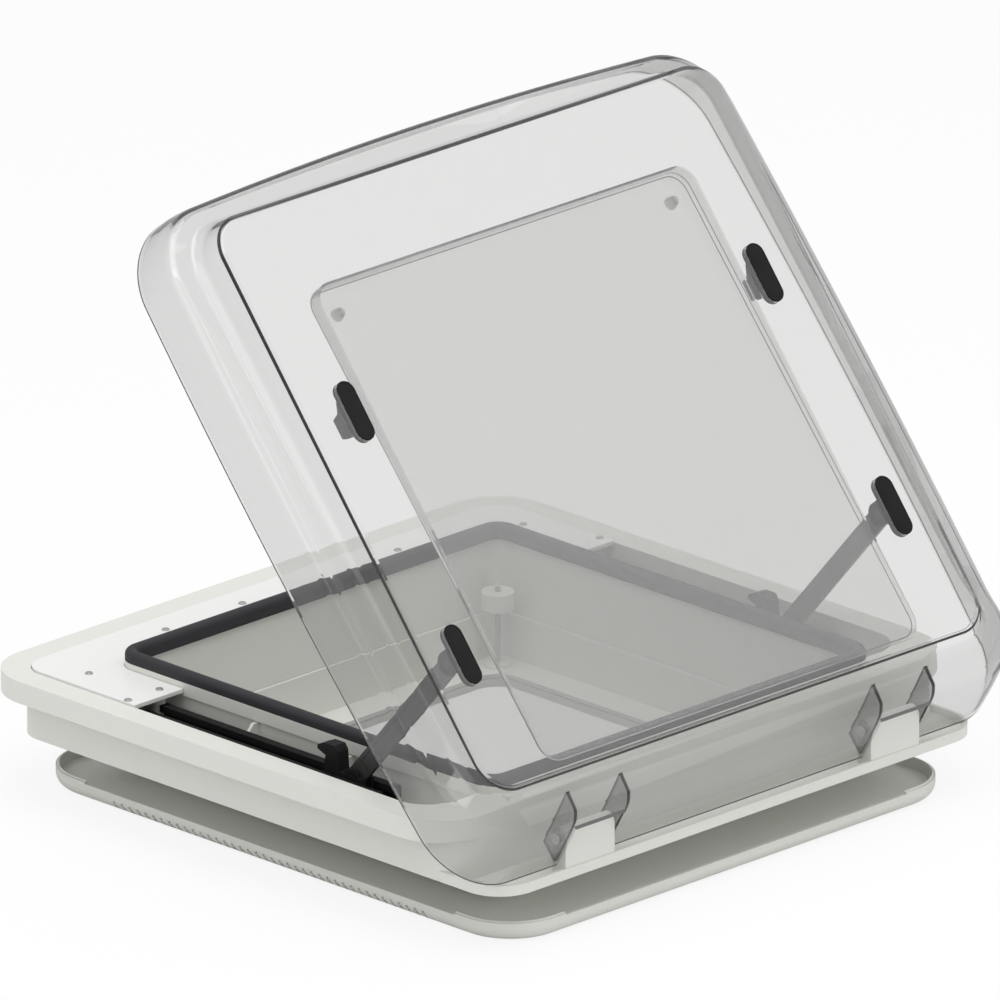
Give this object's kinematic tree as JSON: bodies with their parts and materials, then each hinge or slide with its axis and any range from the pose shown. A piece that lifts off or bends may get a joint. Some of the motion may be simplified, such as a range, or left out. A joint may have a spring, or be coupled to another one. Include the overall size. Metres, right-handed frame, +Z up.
{
  "type": "caravan roof vent",
  "caption": "Square caravan roof vent: white clamp frame with a sealed sleeve, and a clear double-glazed lid that swings open on two arms running in rails.",
  "frame": {"origin": "centre of the roof cut-out, on the roof's outer face", "axes": "+Z up out of the roof, +X along the hinge axis, -Y towards the hinge"},
  "size_m": [0.576, 0.5243, 0.483],
  "materials": {
    "frame_white": "satin",
    "seal_rubber": "matte",
    "black_plastic": "matte",
    "arm_grey": "satin",
    "clear_acrylic": "polished",
    "steel": "satin",
    "screen_net": "matte"
  },
  "bodies": {
    "frame": {"outer_frame": "frame_white", "cover_plate": "frame_white", "plate_screws": "steel", "gasket": "seal_rubber", "rail_left": "black_plastic", "rail_right": "black_plastic", "rail_screws": "steel", "inner_frame": "frame_white", "fly_screen": "screen_net", "clamp_screws": "steel", "screw_caps": "frame_white"},
    "lid": {"dome": "clear_acrylic", "inner_pane": "clear_acrylic", "breather_plugs": "clear_acrylic", "arm_bracket_left": "black_plastic", "arm_bracket_right": "black_plastic", "bracket_pins": "steel", "catch_bracket_left": "black_plastic", "catch_bracket_right": "black_plastic", "top_pads": "black_plastic", "hinge_pins": "steel"},
    "arm_left": {"arm_left": "arm_grey"},
    "arm_right": {"arm_right": "arm_grey"},
    "carriage_left": {"carriage_left": "black_plastic", "carriage_pin_left": "steel"},
    "carriage_right": {"carriage_right": "black_plastic", "carriage_pin_right": "steel"}
  },
  "joints": [
    {"name": "dome_hinge", "type": "hinge", "parent": "frame", "child": "lid", "pos_m": [0, -0.242, 0.03], "axis": [1, 0, 0], "range_deg": [-50, 0]},
    {"name": "arm_left_pivot", "type": "hinge", "parent": "lid", "child": "arm_left", "pos_m": [-0.217, -0.17356, 0.15388], "axis": [1, 0, 0], "range_deg": [0, 94]},
    {"name": "carriage_left_pivot", "type": "hinge", "parent": "arm_left", "child": "carriage_left", "pos_m": [-0.217, -0.07824, 0.0425], "axis": [1, 0, 0], "range_deg": [-44, 0]},
    {"name": "arm_right_pivot", "type": "hinge", "parent": "lid", "child": "arm_right", "pos_m": [0.217, -0.17356, 0.15388], "axis": [1, 0, 0], "range_deg": [0, 94]},
    {"name": "carriage_right_pivot", "type": "hinge", "parent": "arm_right", "child": "carriage_right", "pos_m": [0.217, -0.07824, 0.0425], "axis": [1, 0, 0], "range_deg": [-44, 0]}
  ],
  "couplings": [
    {"joint": "arm_left_pivot", "follows": "dome_hinge", "ratio": -1.8737},
    {"joint": "carriage_left_pivot", "follows": "dome_hinge", "ratio": 0.87373},
    {"joint": "arm_right_pivot", "follows": "dome_hinge", "ratio": -1.8737},
    {"joint": "carriage_right_pivot", "follows": "dome_hinge", "ratio": 0.87373}
  ]
}
